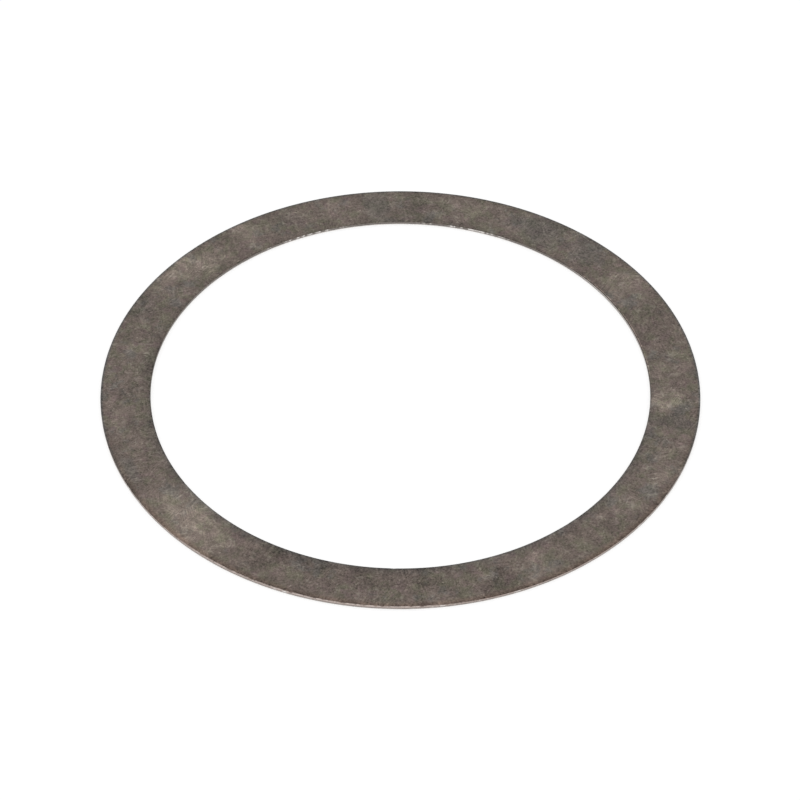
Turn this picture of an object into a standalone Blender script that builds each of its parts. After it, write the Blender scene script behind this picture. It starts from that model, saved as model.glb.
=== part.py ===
"""A shim ring: one thin flat steel ring that takes up end play on a shaft or in a housing.

The ring is blanked from hardened strip with one stroke of a compound die, so its bore and its
rim are sheared from the same side. Each cut edge has the four zones of a sheared edge. From the
upper face down they are the roll-over, where the strip was drawn in before it parted, the
burnished land, which has the true diameter, the fracture, which falls back into the metal, and
the lower corner, where tumbling has taken off the burr.

Units are metres and +Z is up. The origin is the centre of the bore on the lower face.
"""

import math

import bpy

# Driving dimensions of the ring
BORE_DIAMETER = 0.150
RING_WIDTH = 0.015
THICKNESS = 0.001

# The sheared edge, the same at the bore and at the rim
ROLL_OVER_RADIUS = 0.00012
FRACTURE_SHARE = 0.40
FRACTURE_SETBACK = 0.00004
TUMBLED_RADIUS = 0.00005

# How finely the round forms are faceted
TURN_STEPS = 180
ROLL_OVER_STEPS = 3
TUMBLED_STEPS = 2
SHARP_ANGLE = math.radians(35)

# Hardened strip steel with its dull grey-brown temper colour
STEEL_COLOUR = (0.141, 0.120, 0.102, 1.0)
STEEL_METALLIC = 0.85
STEEL_ROUGHNESS = 0.45

BORE_RADIUS = BORE_DIAMETER / 2
RIM_RADIUS = BORE_RADIUS + RING_WIDTH


def clear_scene():
    """Removes the startup objects, so that the scene holds only the ring."""
    for thing in list(bpy.data.objects):
        bpy.data.objects.remove(thing, do_unlink=True)


def quarter_round(depth, height, radius, start, steps):
    """Points round a corner of the section, a quarter turn from the start angle, ends included."""
    angles = [start + math.pi / 2 * step / steps for step in range(steps + 1)]
    return [(depth + radius * math.cos(a), height + radius * math.sin(a)) for a in angles]


def sheared_edge():
    """The outline of a cut edge as (depth into the metal, height), from the upper face down.

    The depth is 0 on the burnished land, so one outline serves the rim and the bore. The lowest
    share of the thickness tore instead of shearing, and leans back into the metal.
    """
    roll_over = quarter_round(
        ROLL_OVER_RADIUS, THICKNESS - ROLL_OVER_RADIUS, ROLL_OVER_RADIUS, math.pi / 2, ROLL_OVER_STEPS
    )
    land_end = (0.0, THICKNESS * FRACTURE_SHARE)
    tumbled = quarter_round(
        FRACTURE_SETBACK + TUMBLED_RADIUS, TUMBLED_RADIUS, TUMBLED_RADIUS, math.pi, TUMBLED_STEPS
    )
    return [*roll_over, land_end, *tumbled]


def ring_section():
    """The closed outline of the ring's section at +X: down the rim, then up the bore."""
    edge = sheared_edge()
    rim = [(RIM_RADIUS - depth, height) for depth, height in edge]
    bore = [(BORE_RADIUS + depth, height) for depth, height in reversed(edge)]
    return rim + bore


def turned(name, section):
    """A mesh object made by turning a closed section once round Z with a Screw modifier."""
    outline = bpy.data.meshes.new(name + "_section")
    corners = len(section)
    sides = [(corner, (corner + 1) % corners) for corner in range(corners)]
    outline.from_pydata([(radius, 0.0, height) for radius, height in section], sides, [])
    solid = bpy.data.objects.new(name, outline)
    screw = solid.modifiers.new("turn", "SCREW")
    screw.axis = "Z"
    screw.angle = math.tau
    screw.steps = TURN_STEPS
    screw.render_steps = TURN_STEPS
    return solid


def apply_modifiers(solid):
    """Makes the evaluated shape the object's own mesh, with its round walls shaded smooth."""
    graph = bpy.context.evaluated_depsgraph_get()
    outline = solid.data
    solid.data = bpy.data.meshes.new_from_object(solid.evaluated_get(graph))
    solid.modifiers.clear()
    bpy.data.meshes.remove(outline)
    solid.data.name = solid.name
    solid.data.shade_smooth()
    solid.data.set_sharp_from_angle(angle=SHARP_ANGLE)


def strip_steel():
    """Hardened strip steel, dull and dark from its heat treatment."""
    material = bpy.data.materials.new("strip_steel")
    material.use_nodes = True
    surface = material.node_tree.nodes["Principled BSDF"]
    surface.inputs["Base Color"].default_value = STEEL_COLOUR
    surface.inputs["Metallic"].default_value = STEEL_METALLIC
    surface.inputs["Roughness"].default_value = STEEL_ROUGHNESS
    material.diffuse_color = STEEL_COLOUR
    return material


def shim_ring():
    """The ring, lying flat with its roll-over side up."""
    collection = bpy.data.collections.new("shim_ring")
    bpy.context.scene.collection.children.link(collection)
    ring = turned("shim_ring", ring_section())
    collection.objects.link(ring)
    apply_modifiers(ring)
    ring.data.materials.append(strip_steel())
    return ring


clear_scene()
shim_ring()
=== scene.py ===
"""The looks of a thin steel shim ring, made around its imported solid.

Everything is in metres, in the frame of the solid. The ring lies flat on the table with the centre
of its bore on the origin and its lower face at height 0. Near means towards -Y, where the camera
stands, and an angle round the ring starts at the near point and grows towards +X.
"""

import math
import random

import bmesh
import bpy
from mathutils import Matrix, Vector, noise


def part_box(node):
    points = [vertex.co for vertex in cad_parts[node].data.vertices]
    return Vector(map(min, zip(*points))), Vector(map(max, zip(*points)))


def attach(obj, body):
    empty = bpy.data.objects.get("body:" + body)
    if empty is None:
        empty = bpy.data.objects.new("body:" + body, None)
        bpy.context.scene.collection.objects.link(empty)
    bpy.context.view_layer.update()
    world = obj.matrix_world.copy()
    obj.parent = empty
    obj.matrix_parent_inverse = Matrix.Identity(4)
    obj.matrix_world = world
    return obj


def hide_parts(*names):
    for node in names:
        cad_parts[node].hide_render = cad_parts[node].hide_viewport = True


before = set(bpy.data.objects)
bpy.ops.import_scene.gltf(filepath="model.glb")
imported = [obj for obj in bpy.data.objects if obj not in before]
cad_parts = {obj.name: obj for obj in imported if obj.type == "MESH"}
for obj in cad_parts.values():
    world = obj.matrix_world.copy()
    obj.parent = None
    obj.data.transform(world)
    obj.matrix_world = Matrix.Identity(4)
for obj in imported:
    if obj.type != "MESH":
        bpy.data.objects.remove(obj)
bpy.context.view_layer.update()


# The ring is one piece of hardened strip steel, blanked with one stroke of a die, so that its bore
# and its rim are sheared from the same side. It was tempered in a furnace, which left the dull
# grey-brown faces, and tumbled with its batch, which took the burr off its lower corners.
MM = 0.001
CLOSE = 0.002 * MM

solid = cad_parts["shim_ring"]
ring_low, ring_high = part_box("shim_ring")
RIM_RADIUS = ring_high.x
THICKNESS = ring_high.z - ring_low.z
BORE_RADIUS = min(vertex.co.xy.length for vertex in solid.data.vertices)
MID_RADIUS = (RIM_RADIUS + BORE_RADIUS) / 2
WIDTH = RIM_RADIUS - BORE_RADIUS

# The sheared edge, from the upper face down: roll-over, burnished land, fracture, tumbled corner
ROLL_OVER_RADIUS = 0.12 * MM
LAND_END = 0.40 * THICKNESS
FRACTURE_SETBACK = 0.04 * MM
TUMBLED_RADIUS = 0.05 * MM
HOLDING_ROW = 0.06 * MM
WALL_DEPTH = 0.1 * MM
TURN_STEPS = 1440

# The blank: six corners of its section, turned once round the axis of the bore
ring_mesh = bmesh.new()
section = [
    ring_mesh.verts.new(corner)
    for corner in (
        (RIM_RADIUS, 0.0, THICKNESS),
        (RIM_RADIUS, 0.0, LAND_END),
        (RIM_RADIUS - FRACTURE_SETBACK, 0.0, 0.0),
        (BORE_RADIUS + FRACTURE_SETBACK, 0.0, 0.0),
        (BORE_RADIUS, 0.0, LAND_END),
        (BORE_RADIUS, 0.0, THICKNESS),
    )
]
sides = [ring_mesh.edges.new((section[side - 1], section[side])) for side in range(len(section))]
bmesh.ops.spin(
    ring_mesh, geom=section + sides, cent=(0, 0, 0), axis=(0, 0, 1),
    angle=math.tau, steps=TURN_STEPS, use_merge=True, use_duplicate=False,
)
bmesh.ops.recalc_face_normals(ring_mesh, faces=ring_mesh.faces)

# So many small turns drift by a few microns, so each corner is trued to its own radius
corner_radii = (RIM_RADIUS, RIM_RADIUS - FRACTURE_SETBACK, BORE_RADIUS + FRACTURE_SETBACK, BORE_RADIUS)
for vert in ring_mesh.verts:
    turned_radius = vert.co.xy.length
    true_radius = min(corner_radii, key=lambda corner_radius: abs(corner_radius - turned_radius))
    vert.co.xy *= true_radius / turned_radius


def depth(point):
    """How far a point lies inside the bore's or the rim's true diameter, whichever is nearer."""
    radius = math.hypot(point.x, point.y)
    return min(RIM_RADIUS - radius, radius - BORE_RADIUS)


def edges_where(test):
    """The edges whose two ends both pass a test."""
    return [edge for edge in ring_mesh.edges if all(test(vert.co) for vert in edge.verts)]


def is_hoop(edge):
    """Whether an edge runs round the ring, not across it."""
    start, end = (vert.co for vert in edge.verts)
    return abs(start.z - end.z) < CLOSE and abs(start.xy.length - end.xy.length) < CLOSE


def round_corners(height, radius, segments):
    """Rounds the two corners of the section at one height, all the way round the ring."""
    hoops = [edge for edge in edges_where(lambda point: abs(point.z - height) < CLOSE) if is_hoop(edge)]
    bmesh.ops.bevel(
        ring_mesh, geom=hoops, offset=radius, offset_type="OFFSET",
        segments=segments, profile=0.5, affect="EDGES", material=-1,
    )


def cut_rows(lowest, highest, rows):
    """Cuts the walls between two heights into level rows of faces."""
    on_walls = set(edges_where(lambda point: depth(point) < WALL_DEPTH))
    between = edges_where(lambda point: lowest - CLOSE < point.z < highest + CLOSE)
    upright = [edge for edge in between if edge in on_walls and not is_hoop(edge)]
    bmesh.ops.subdivide_edges(ring_mesh, edges=upright, cuts=rows - 1, use_grid_fill=True)


round_corners(THICKNESS, ROLL_OVER_RADIUS, segments=4)
round_corners(0.0, TUMBLED_RADIUS, segments=2)
cut_rows(LAND_END, THICKNESS - ROLL_OVER_RADIUS, rows=3)
cut_rows(TUMBLED_RADIUS, LAND_END, rows=4)

# A narrow row of faces along the edges of both faces keeps their flat parts flat in the shading
for height in (THICKNESS, 0.0):
    flat = [face for face in ring_mesh.faces if all(abs(vert.co.z - height) < CLOSE for vert in face.verts)]
    bmesh.ops.inset_region(ring_mesh, faces=flat, thickness=HOLDING_ROW, use_even_offset=True)

# The cut edges: the line where the shear turned into a tear wanders, and below it the steel is torn
WANDER = 0.07 * MM
WANDER_REACH = 0.25 * MM
LONG_WAVE = 4.0 * MM
SHORT_WAVE = 0.9 * MM
TEAR_DEPTH = 0.035 * MM
TEAR_LUMPS = 0.45 * MM
TEAR_CRUMBS = 0.2 * MM
NICKS = 22
NICK_DEPTH = 0.05 * MM
NICK_REACH = 0.3 * MM
SHARP_ANGLE = math.radians(40)
rng = random.Random(7)
nicks = [
    (rng.uniform(-math.pi, math.pi), rng.choice((1, -1)), rng.uniform(0.5, 1.3) * MM, rng.uniform(0.4, 1.0))
    for _ in range(NICKS)
]
burnished = ring_mesh.verts.layers.float.new("burnished")


def ease(value, start, end):
    """A smooth step from 0 at start to 1 at end."""
    share = min(max((value - start) / (end - start), 0.0), 1.0)
    return share * share * (3 - 2 * share)


for vert in ring_mesh.verts:
    place = vert.co.copy()
    outward = Vector((place.x, place.y, 0.0)).normalized()
    side = 1 if place.xy.length > MID_RADIUS else -1
    on_wall = 1 - ease(depth(place), 0.08 * MM, 0.16 * MM)
    near_line = on_wall * max(1 - abs(place.z - LAND_END) / WANDER_REACH, 0.0)
    long_wave = noise.noise(place / LONG_WAVE + Vector((side * 9.0, 0, 0)))
    short_wave = noise.noise(place / SHORT_WAVE)
    vert.co.z += WANDER * near_line * (long_wave + 0.6 * short_wave)
    torn = on_wall * ease(LAND_END - place.z, -0.02 * MM, 0.08 * MM) * ease(place.z, 0.0, 0.10 * MM)
    ragged = noise.noise(place / TEAR_LUMPS) + 0.5 * noise.noise(place / TEAR_CRUMBS)
    push = TEAR_DEPTH * torn * (0.55 + 0.45 * min(max(ragged, -1.0), 1.0))
    angle = math.atan2(place.x, -place.y)
    for nick_angle, nick_side, nick_length, nick_share in nicks:
        along = abs((angle - nick_angle + math.pi) % math.tau - math.pi) * place.xy.length
        if nick_side == side and along < nick_length:
            height_share = ease(place.z, THICKNESS - NICK_REACH, THICKNESS - 0.05 * MM)
            push += NICK_DEPTH * nick_share * on_wall * height_share * (1 - ease(along, 0.0, nick_length))
    vert.co -= outward * side * push
    vert[burnished] = on_wall * ease(place.z - LAND_END, -0.05 * MM, 0.03 * MM)

ring_data = bpy.data.meshes.new("ring")
ring_mesh.to_mesh(ring_data)
ring_mesh.free()
ring_data.shade_smooth()
ring_data.set_sharp_from_angle(angle=SHARP_ANGLE)
ring = bpy.data.objects.new("blanked_ring", ring_data)
bpy.context.scene.collection.objects.link(ring)


class Signal:
    """One output of a shader node. An expression on signals adds its Math nodes."""

    def __init__(self, tree, socket=None):
        self.tree = tree
        self.socket = socket

    def node(self, kind, settings=None, inputs=None, output=0):
        """Adds a node of a kind, makes its settings, feeds its sockets and gives one output."""
        made = self.tree.nodes.new("ShaderNode" + kind)
        for name, value in (settings or {}).items():
            setattr(made, name, value)
        for name, value in (inputs or {}).items():
            if isinstance(name, int):
                socket = made.inputs[name]
            else:
                socket = next(each for each in made.inputs if each.name == name and each.enabled)
            if isinstance(value, Signal):
                self.tree.links.new(value.socket, socket)
            elif socket.type == "RGBA":
                socket.default_value = (*value, 1.0)
            else:
                socket.default_value = value
        outputs = [each for each in made.outputs if each.enabled]
        return Signal(self.tree, outputs[output])

    def math(self, operation, first, second=0.0):
        return self.node("Math", {"operation": operation}, {0: first, 1: second})

    def __add__(self, other):
        return self.math("ADD", self, other)

    def __sub__(self, other):
        return self.math("SUBTRACT", self, other)

    def __mul__(self, other):
        return self.math("MULTIPLY", self, other)

    def __truediv__(self, other):
        return self.math("DIVIDE", self, other)

    def __radd__(self, other):
        return self.math("ADD", other, self)

    def __rsub__(self, other):
        return self.math("SUBTRACT", other, self)

    def __rmul__(self, other):
        return self.math("MULTIPLY", other, self)

    def __abs__(self):
        return self.math("ABSOLUTE", self)

    def below(self, other):
        """The smaller of this and another value."""
        return self.math("MINIMUM", self, other)

    def above(self, other):
        """The larger of this and another value."""
        return self.math("MAXIMUM", self, other)

    def eased(self, start, end):
        """A smooth step from 0 at start to 1 at end."""
        limits = {"Value": self, "From Min": start, "From Max": end}
        return self.node("MapRange", {"interpolation_type": "SMOOTHSTEP"}, limits)

    def vector(self, operation, other=(0.0, 0.0, 0.0)):
        """This vector put through a Vector Math node, with another where it takes two."""
        return self.node("VectorMath", {"operation": operation}, {0: self, 1: other})

    def times(self, factor):
        """This colour or vector, each part multiplied by the same value."""
        return self.node("VectorMath", {"operation": "SCALE"}, {"Vector": self, "Scale": factor})

    def feed(self, socket):
        """Links this output to a socket of a shader."""
        self.tree.links.new(self.socket, socket)


steel = bpy.data.materials.new("tempered_steel")
steel.use_nodes = True
maker = Signal(steel.node_tree)

# Where a point of the surface lies: its height, how far it is from each edge, and on which side
spot = maker.node("TexCoord", output=3)
height = maker.node("SeparateXYZ", inputs={"Vector": spot}, output=2)
nearness = 0.0 - maker.node("SeparateXYZ", inputs={"Vector": spot}, output=1)
radius = spot.vector("MULTIPLY", (1.0, 1.0, 0.0)).vector("LENGTH")
from_rim = RIM_RADIUS - radius
from_bore = radius - BORE_RADIUS
inside = from_rim.below(from_bore)
outer = radius.eased(MID_RADIUS - 0.2 * WIDTH, MID_RADIUS + 0.2 * WIDTH)
lower = 1.0 - height.eased(0.45 * THICKNESS, 0.55 * THICKNESS)

# The lower face has the pattern of the upper one, turned round so that the two don't match
LOWER_FACE_TURN = 2.0
turned = {"Vector": spot, "Angle": lower * LOWER_FACE_TURN}
face_spot = maker.node("VectorRotate", {"rotation_type": "Z_AXIS"}, turned)


def cloud(size, detail=0.0, roughness=0.5, seed=0.0, place=face_spot):
    """Soft noise about 0, from about -1 to 1, whose largest lumps are of a size."""
    lumps = {"Vector": place, "W": seed, "Scale": 1 / size, "Detail": detail, "Roughness": roughness}
    return maker.node("TexNoise", {"noise_dimensions": "4D"}, lumps) * 2.0 - 1.0


def hairlines(size, width, seed, place=face_spot):
    """Thin winding lines along the zero level of a noise: 1 on them, 0 a little beside them."""
    return (1.0 - abs(cloud(size, seed=seed, place=place)) / width).above(0.0)


def blend(share, first, second):
    """A colour between two others, by a share."""
    return maker.node("Mix", {"data_type": "RGBA"}, {"Factor": share, "A": first, "B": second})


def place_at(turn, place_radius):
    """The point at an angle round the ring, in degrees, and at a radius."""
    return (place_radius * math.sin(math.radians(turn)), -place_radius * math.cos(math.radians(turn)), 0.0)


def stretch(turn, place_radius, full, end):
    """1 on a stretch of an edge round one of its points, easing to 0 between two distances from it."""
    return 1.0 - spot.vector("DISTANCE", place_at(turn, place_radius)).eased(full, end)


# Rubbed places, where the batch tumbled against the faces, and stains of the quench
STAINS = (
    # angle, place across the width from bore to rim, half length, half width, lean, tone, slate share
    (-47, 0.55, 18, 10.0, -12, 0.26, 0.0),
    (-29, 0.35, 5, 9.0, -30, -0.16, 0.0),
    (-12, 0.05, 26, 5.5, 0, -0.15, 0.0),
    (6, 0.15, 12, 4.5, 12, -0.13, 0.0),
    (18, 0.70, 8, 4.0, 24, -0.19, 0.0),
    (28, 0.45, 7, 6.0, 20, 0.15, 0.0),
    (52, 0.45, 8, 5.0, 0, 0.09, 0.0),
    (66, 0.60, 12, 6.0, 0, 0.15, 0.0),
    (79.5, 0.60, 3.5, 8.0, 0, -0.11, 0.5),
    (85, 0.30, 6, 6.0, 10, 0.20, 0.0),
    (94.5, 0.45, 5, 6.0, 0, 0.13, 0.0),
    (102, 0.80, 8, 4.0, -20, 0.10, 0.0),
    (112, 0.60, 4, 7.0, 15, -0.11, 0.0),
    (123, 0.50, 8, 7.0, 12, 0.16, 0.0),
    (137, 0.60, 6, 7.0, 10, -0.05, 0.7),
    (149, 0.60, 12, 7.0, 0, -0.06, 0.7),
    (165, 0.55, 6, 6.0, 20, 0.15, 0.0),
    (177, 0.40, 6, 9.0, 0, -0.09, 0.1),
    (-175, 0.60, 5, 8.0, 0, -0.05, 0.6),
    (-165, 0.50, 8, 6.0, 0, 0.07, 0.0),
    (-155, 0.70, 4, 5.0, 0, -0.06, 0.2),
    (-145, 0.60, 5, 5.0, 15, 0.26, 0.0),
    (-128, 0.68, 16, 6.0, -18, 0.28, 0.0),
    (-114, 0.85, 6, 5.0, 0, -0.15, 0.3),
    (-98, 0.05, 12, 4.0, 8, -0.08, 0.2),
    (-98, 0.75, 10, 4.0, 0, 0.07, 0.0),
    (-81, 0.60, 8, 4.0, 0, 0.12, 0.0),
    (-72, 0.05, 12, 4.0, 0, -0.06, 0.1),
    (-67, 0.85, 7, 4.0, 0, -0.05, 0.7),
)
STAIN_WARP = 13 * MM
WARP_SIZE = 7 * MM

warp = maker.node("TexNoise", inputs={"Vector": face_spot, "Scale": 1 / WARP_SIZE, "Detail": 3.0}, output=1)
warped = face_spot.vector("ADD", warp.vector("SUBTRACT", (0.5, 0.5, 0.5)).times(STAIN_WARP))
stain = 0.0
slate = 0.0
for angle, across, half_length, half_width, lean, stain_tone, slate_share in STAINS:
    centred = {
        "Vector": warped,
        "Location": place_at(angle, BORE_RADIUS + across * WIDTH),
        "Rotation": (0.0, 0.0, math.radians(angle + lean)),
        "Scale": (half_length * MM, half_width * MM, 1.0),
    }
    away = maker.node("Mapping", {"vector_type": "TEXTURE"}, centred).vector("LENGTH")
    spread = 1.0 - away.eased(0.4, 1.25)
    stain = stain + stain_tone * spread
    if slate_share:
        slate = slate + slate_share * spread
rubbed = stain.eased(0.03, 0.25)

# The mottle of the furnace, the grain of the strip, and pale specks where the scale is chipped
mottle = cloud(11 * MM, detail=4.0, roughness=0.9, seed=1.0)
grain = cloud(0.62 * MM, detail=1.0, roughness=1.0, seed=2.0)
specks = cloud(0.65 * MM, detail=1.0, roughness=1.0, seed=9.0).eased(0.12, 0.6)
speckled = cloud(5 * MM, detail=2.0, roughness=0.8, seed=18.0).eased(-0.1, 0.4)

# Hair scratches in a few directions, and the winding scribbles of loose grit
SCRATCH_SIZE = 0.6 * MM
SCRATCH_STRETCH = (14.0, 1.0, 1.0)
SCRATCH_TURNS = (12, 57, 101, 148)
SCRIBBLE_SIZES_MM = (1.3, 1.8, 2.5)
SCRIBBLE_WIDTH = 0.36

scratches = 0.0
for seed, lean in enumerate(SCRATCH_TURNS):
    combing = {"Vector": face_spot, "Rotation": (0.0, 0.0, math.radians(lean)), "Scale": SCRATCH_STRETCH}
    combed = maker.node("Mapping", {"vector_type": "TEXTURE"}, combing)
    patch = cloud(5 * MM, detail=1.0, seed=20.0 + seed).eased(-0.1, 0.4)
    scratches = scratches + hairlines(SCRATCH_SIZE, 0.22, 10.0 + seed, combed) * patch
scribbles = 0.0
for seed, size in enumerate(SCRIBBLE_SIZES_MM):
    patch = cloud(4 * MM, detail=2.0, seed=40.0 + seed).eased(0.12, 0.4)
    scribbles = scribbles + hairlines(size * MM, SCRIBBLE_WIDTH / size, 30.0 + seed) * patch

# How light a point of the face is, as a multiple of its colour
PLAIN_TONE = 0.85

tone = PLAIN_TONE + stain + mottle * 0.42 + grain * 0.74
tone = tone + specks * (0.30 + 0.90 * speckled + 0.25 * rubbed)
tone = tone + scratches * (0.33 + 0.24 * rubbed) + scribbles * (0.50 + 0.22 * rubbed)

# The faces are darker towards the edges, most of all in a line beside the bore and the rim
bore_shade = 1.0 - from_bore.eased(0.1 * MM, 3.6 * MM)
rim_shade = 1.0 - from_rim.eased(0.1 * MM, 2.6 * MM)
edge_line = 1.0 - inside.eased(0.15 * MM, 0.9 * MM)
near_rim = nearness.eased(0.0, 0.75 * RIM_RADIUS) * outer
tone = tone - bore_shade * 0.12 - rim_shade * 0.09 - edge_line * 0.14
tone = tone - (1.0 - from_rim.eased(0.5 * MM, 1.5 * MM)) * near_rim * 0.08

# Temper colours: grey-brown steel with olive, plum and slate places
STEEL_COLOUR = (0.1595, 0.1275, 0.1105)
OLIVE_COLOUR = (0.148, 0.133, 0.101)
PLUM_COLOUR = (0.164, 0.125, 0.115)
SLATE_COLOUR = (0.138, 0.128, 0.118)
PALE_COLOUR = (0.147, 0.132, 0.112)
BROWN_EDGE_COLOUR = (0.168, 0.120, 0.096)
BLUE_EDGE_COLOUR = (0.134, 0.128, 0.122)

hue = blend(cloud(5 * MM, detail=3.0, roughness=0.7, seed=3.0).eased(-0.15, 0.25), STEEL_COLOUR, OLIVE_COLOUR)
hue = blend(cloud(4 * MM, detail=3.0, roughness=0.7, seed=4.0).eased(0.0, 0.3), hue, PLUM_COLOUR)
hue = blend(cloud(6 * MM, detail=3.0, roughness=0.7, seed=5.0).eased(0.05, 0.35) * 0.7, hue, SLATE_COLOUR)
hue = blend(slate.below(0.7) * 0.7, hue, SLATE_COLOUR)
hue = blend(rubbed * 0.2, hue, OLIVE_COLOUR)
hue = blend((specks * 0.6 + scribbles * 0.6).below(0.8), hue, PALE_COLOUR)
hue = blend(rim_shade * near_rim * 0.85, hue, BROWN_EDGE_COLOUR)
near_bore = nearness.eased(-0.3 * BORE_RADIUS, 0.6 * BORE_RADIUS) * (1.0 - outer)
cool_edge = edge_line * outer * (1.0 - near_rim) + (edge_line * 0.5 + bore_shade * 0.3) * near_bore
hue = blend(cool_edge, hue, BLUE_EDGE_COLOUR)
face_colour = hue.times(tone)

# Bare steel on the cut edges: scored where it was sheared and broken up where it tore, with painted
# highlights in pale broken patches on the rim's wall and on two stretches of the far bore's wall
RIM_LAND_COLOUR = (0.43, 0.360, 0.330)
BORE_LAND_COLOUR = (0.215, 0.190, 0.175)
PAINTED_HIGHLIGHT_COLOUR = (0.80, 0.76, 0.73)
# The torn steel is painted pale grey, a painted reflection of the white table
TORN_REFLECTION_COLOUR = (0.66, 0.62, 0.59)
BORE_HIGHLIGHT_TURNS = (-156, 164)
PAINTED_SHADOW_TURN = 113

scored = spot.vector("MULTIPLY", (1.0, 1.0, 0.04))
scoring = cloud(0.35 * MM, detail=3.0, roughness=0.7, seed=6.0, place=scored)
tearing = cloud(0.3 * MM, detail=3.0, roughness=0.7, seed=7.0, place=spot)
# Painted highlights: pale broken patches on the rim's wall and on two stretches of the far bore's wall
highlight_breaks = cloud(2.2 * MM, detail=2.0, roughness=0.8, seed=15.0, place=scored).eased(-0.05, 0.2)
painted_highlights = cloud(5 * MM, detail=3.0, roughness=0.8, seed=8.0, place=scored).eased(0.05, 0.35) * outer
for turn in BORE_HIGHLIGHT_TURNS:
    painted_highlights = painted_highlights + stretch(turn, BORE_RADIUS, 5 * MM, 19 * MM) * highlight_breaks * (1.0 - outer)
# Painted shadow beside the right bore: a paler wall there, and a dark and a light line on the face
painted_bore_shadow = stretch(PAINTED_SHADOW_TURN, BORE_RADIUS, 18 * MM, 34 * MM) * (1.0 - outer)
sheared_colour = blend(outer, BORE_LAND_COLOUR, RIM_LAND_COLOUR)
sheared_colour = blend(painted_highlights, sheared_colour, PAINTED_HIGHLIGHT_COLOUR).times(1.0 + scoring * 0.5)
sheared_colour = blend(painted_bore_shadow * 0.6, sheared_colour, TORN_REFLECTION_COLOUR)
# The torn zone: pale grey as a painted reflection of the white table, with painted highlights
torn_reflection_colour = blend(painted_highlights * 0.5, TORN_REFLECTION_COLOUR, PAINTED_HIGHLIGHT_COLOUR).times(1.0 + tearing * 0.4)
burnished_here = maker.node("Attribute", {"attribute_name": "burnished"}, output=2)
tear_line = (burnished_here * (1.0 - burnished_here) * 8.0).below(1.0)
wall_colour = blend(burnished_here, torn_reflection_colour, sheared_colour).times(1.0 - tear_line * 0.8)

# The bare steel reaches up to the roll-over and down round the tumbled corner. A painted highlight
# brightens the upper corner of the near rim, and painted shadow lies beside the right bore
RIM_HIGHLIGHT_COLOUR = (0.56, 0.480, 0.445)
RIM_HIGHLIGHT_TURN = -17

wall = 1.0 - inside.eased((0.005 + lower * 0.085) * MM, (0.04 + lower * 0.10) * MM)
on_top = height.eased(THICKNESS - 0.16 * MM, THICKNESS - 0.06 * MM)
patchiness = cloud(2.5 * MM, detail=3.0, roughness=0.9, seed=16.0, place=scored).eased(-0.35, 0.25)
# The dark and the light line of the painted shadow beside the right bore
light_line = from_bore.eased(0.22 * MM, 0.34 * MM) * (1.0 - from_bore.eased(0.50 * MM, 0.66 * MM))
dark_line = 1.0 - from_bore.eased(0.16 * MM, 0.30 * MM)
face_colour = face_colour.times(1.0 + (light_line * patchiness * 1.5 - dark_line * 0.45) * painted_bore_shadow * on_top)
# Painted highlight on the upper corner of the near rim, broken up by a patchy noise
rim_highlight = (1.0 - from_rim.eased(0.22 * MM, 0.38 * MM)) * stretch(RIM_HIGHLIGHT_TURN, RIM_RADIUS, 30 * MM, 52 * MM)
colour = blend(wall, face_colour, wall_colour)
colour = blend(rim_highlight * patchiness * on_top, colour, RIM_HIGHLIGHT_COLOUR)

# The faces are dull, rubbed places a little less so, and only the burnished land is smooth
DULLNESS = 0.50
RELIEF_STRENGTH = 0.5
RELIEF_DEPTH = 0.02 * MM
METAL_SHARE = 0.9

roughness = DULLNESS - 0.06 * rubbed + mottle * 0.06 + wall * (0.08 - burnished_here * 0.28)
relief = grain * 0.5 + mottle * 0.4 + scratches * (-0.4) + scribbles * (-0.3)
bump = maker.node("Bump", inputs={"Strength": RELIEF_STRENGTH, "Distance": RELIEF_DEPTH, "Height": relief})

steel_surface = steel.node_tree.nodes["Principled BSDF"]
colour.feed(steel_surface.inputs["Base Color"])
roughness.feed(steel_surface.inputs["Roughness"])
bump.feed(steel_surface.inputs["Normal"])
steel_surface.inputs["Metallic"].default_value = METAL_SHARE

ring_data.materials.append(steel)
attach(ring, "root")
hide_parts("shim_ring")


# The table is a plain sheet of white board, a hair below the ring, whose shadow it keeps. Where
# nothing shades it, it is as white as a sheet of paper. It is clear to a view from below, so that
# the lower face of the ring shows there too, in the light of the room.
TABLE_HALF = 1.6
TABLE_GAP = 0.01 * MM
BOARD_GREY = 0.50
BOARD_ROUGHNESS = 0.9
BOARD_FILL = 0.55

table_mesh = bmesh.new()
bmesh.ops.create_grid(table_mesh, x_segments=1, y_segments=1, size=TABLE_HALF)
bmesh.ops.translate(table_mesh, verts=table_mesh.verts, vec=(0.0, 0.0, -TABLE_GAP))
table_data = bpy.data.meshes.new("table")
table_mesh.to_mesh(table_data)
table_mesh.free()
table = bpy.data.objects.new("table", table_data)
bpy.context.scene.collection.objects.link(table)

board = bpy.data.materials.new("white_board")
board.use_nodes = True
board_surface = board.node_tree.nodes["Principled BSDF"]
board_surface.inputs["Base Color"].default_value = (BOARD_GREY, BOARD_GREY, BOARD_GREY, 1.0)
board_surface.inputs["Roughness"].default_value = BOARD_ROUGHNESS
board_surface.inputs["Specular IOR Level"].default_value = 0.0
board_surface.inputs["Emission Strength"].default_value = 1.0


def seen_by(tree):
    """1 for what the camera sees, straight or in glossy steel or through glass, and 0 for light."""
    straight, glossy, through = (Signal(tree).node("LightPath", output=ray) for ray in (0, 3, 6))
    return straight.above(glossy).above(through)


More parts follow.
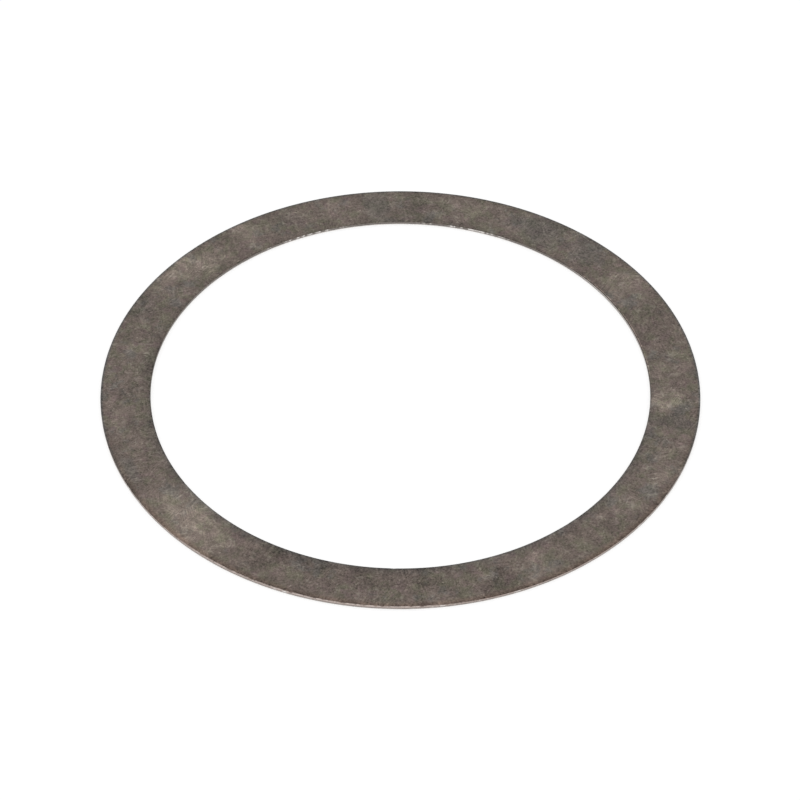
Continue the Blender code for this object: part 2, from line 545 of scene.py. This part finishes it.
fill = seen_by(board.node_tree) * BOARD_FILL
fill.node("CombineColor", inputs={"Red": fill, "Green": fill, "Blue": fill}).feed(
    board_surface.inputs["Emission Color"]
)
from_below = fill.node("NewGeometry", output=6)
been_through = fill.node("LightPath", output=12)
painted = Signal(board.node_tree, board_surface.outputs["BSDF"])
two_faces = {0: from_below.above(been_through).below(1.0), 1: painted, 2: fill.node("BsdfTransparent")}
fill.node("MixShader", inputs=two_faces).feed(board.node_tree.nodes["Material Output"].inputs["Surface"])
table_data.materials.append(board)


# The light is a white room with one soft lamp above and in front of the ring.
ROOM_LIGHT = 0.85
LAMP_SIZE = 0.35
LAMP_RADIANCE = 6.0
LAMP_PLACE = Vector((-0.15, -0.45, 1.15))

room = bpy.data.worlds.new("room")
room.use_nodes = True
bpy.context.scene.world = room
glow = ROOM_LIGHT + seen_by(room.node_tree) * (1.0 - ROOM_LIGHT)
glow.node("CombineColor", inputs={"Red": glow, "Green": glow, "Blue": glow}).feed(
    room.node_tree.nodes["Background"].inputs["Color"]
)

lamp_data = bpy.data.lights.new("soft_lamp", "AREA")
lamp_data.shape = "SQUARE"
lamp_data.size = LAMP_SIZE
lamp_data.energy = LAMP_RADIANCE * math.pi * LAMP_SIZE ** 2
lamp = bpy.data.objects.new("soft_lamp", lamp_data)
lamp.location = LAMP_PLACE
lamp.rotation_euler = LAMP_PLACE.to_track_quat("Z", "Y").to_euler()
bpy.context.scene.collection.objects.link(lamp)


# The camera looks down on the ring from in front, through a long lens.
CAMERA_ELEVATION = math.radians(43.83)
CAMERA_DISTANCE = 1.0436
CAMERA_PAN = math.radians(0.0091)
CAMERA_TILT = math.radians(0.1888)
LENS = 156.14
SENSOR = 36.0
NEAREST_SEEN = 10 * MM

camera_data = bpy.data.cameras.new("camera")
camera_data.sensor_width = SENSOR
camera_data.lens = LENS
camera_data.clip_start = NEAREST_SEEN
camera = bpy.data.objects.new("camera", camera_data)
camera.location = CAMERA_DISTANCE * Vector((0.0, -math.cos(CAMERA_ELEVATION), math.sin(CAMERA_ELEVATION)))
camera.rotation_euler = (math.pi / 2 - CAMERA_ELEVATION - CAMERA_TILT, 0.0, CAMERA_PAN)
bpy.context.scene.collection.objects.link(camera)
bpy.context.scene.camera = camera
bpy.context.scene.view_settings.view_transform = "Standard"
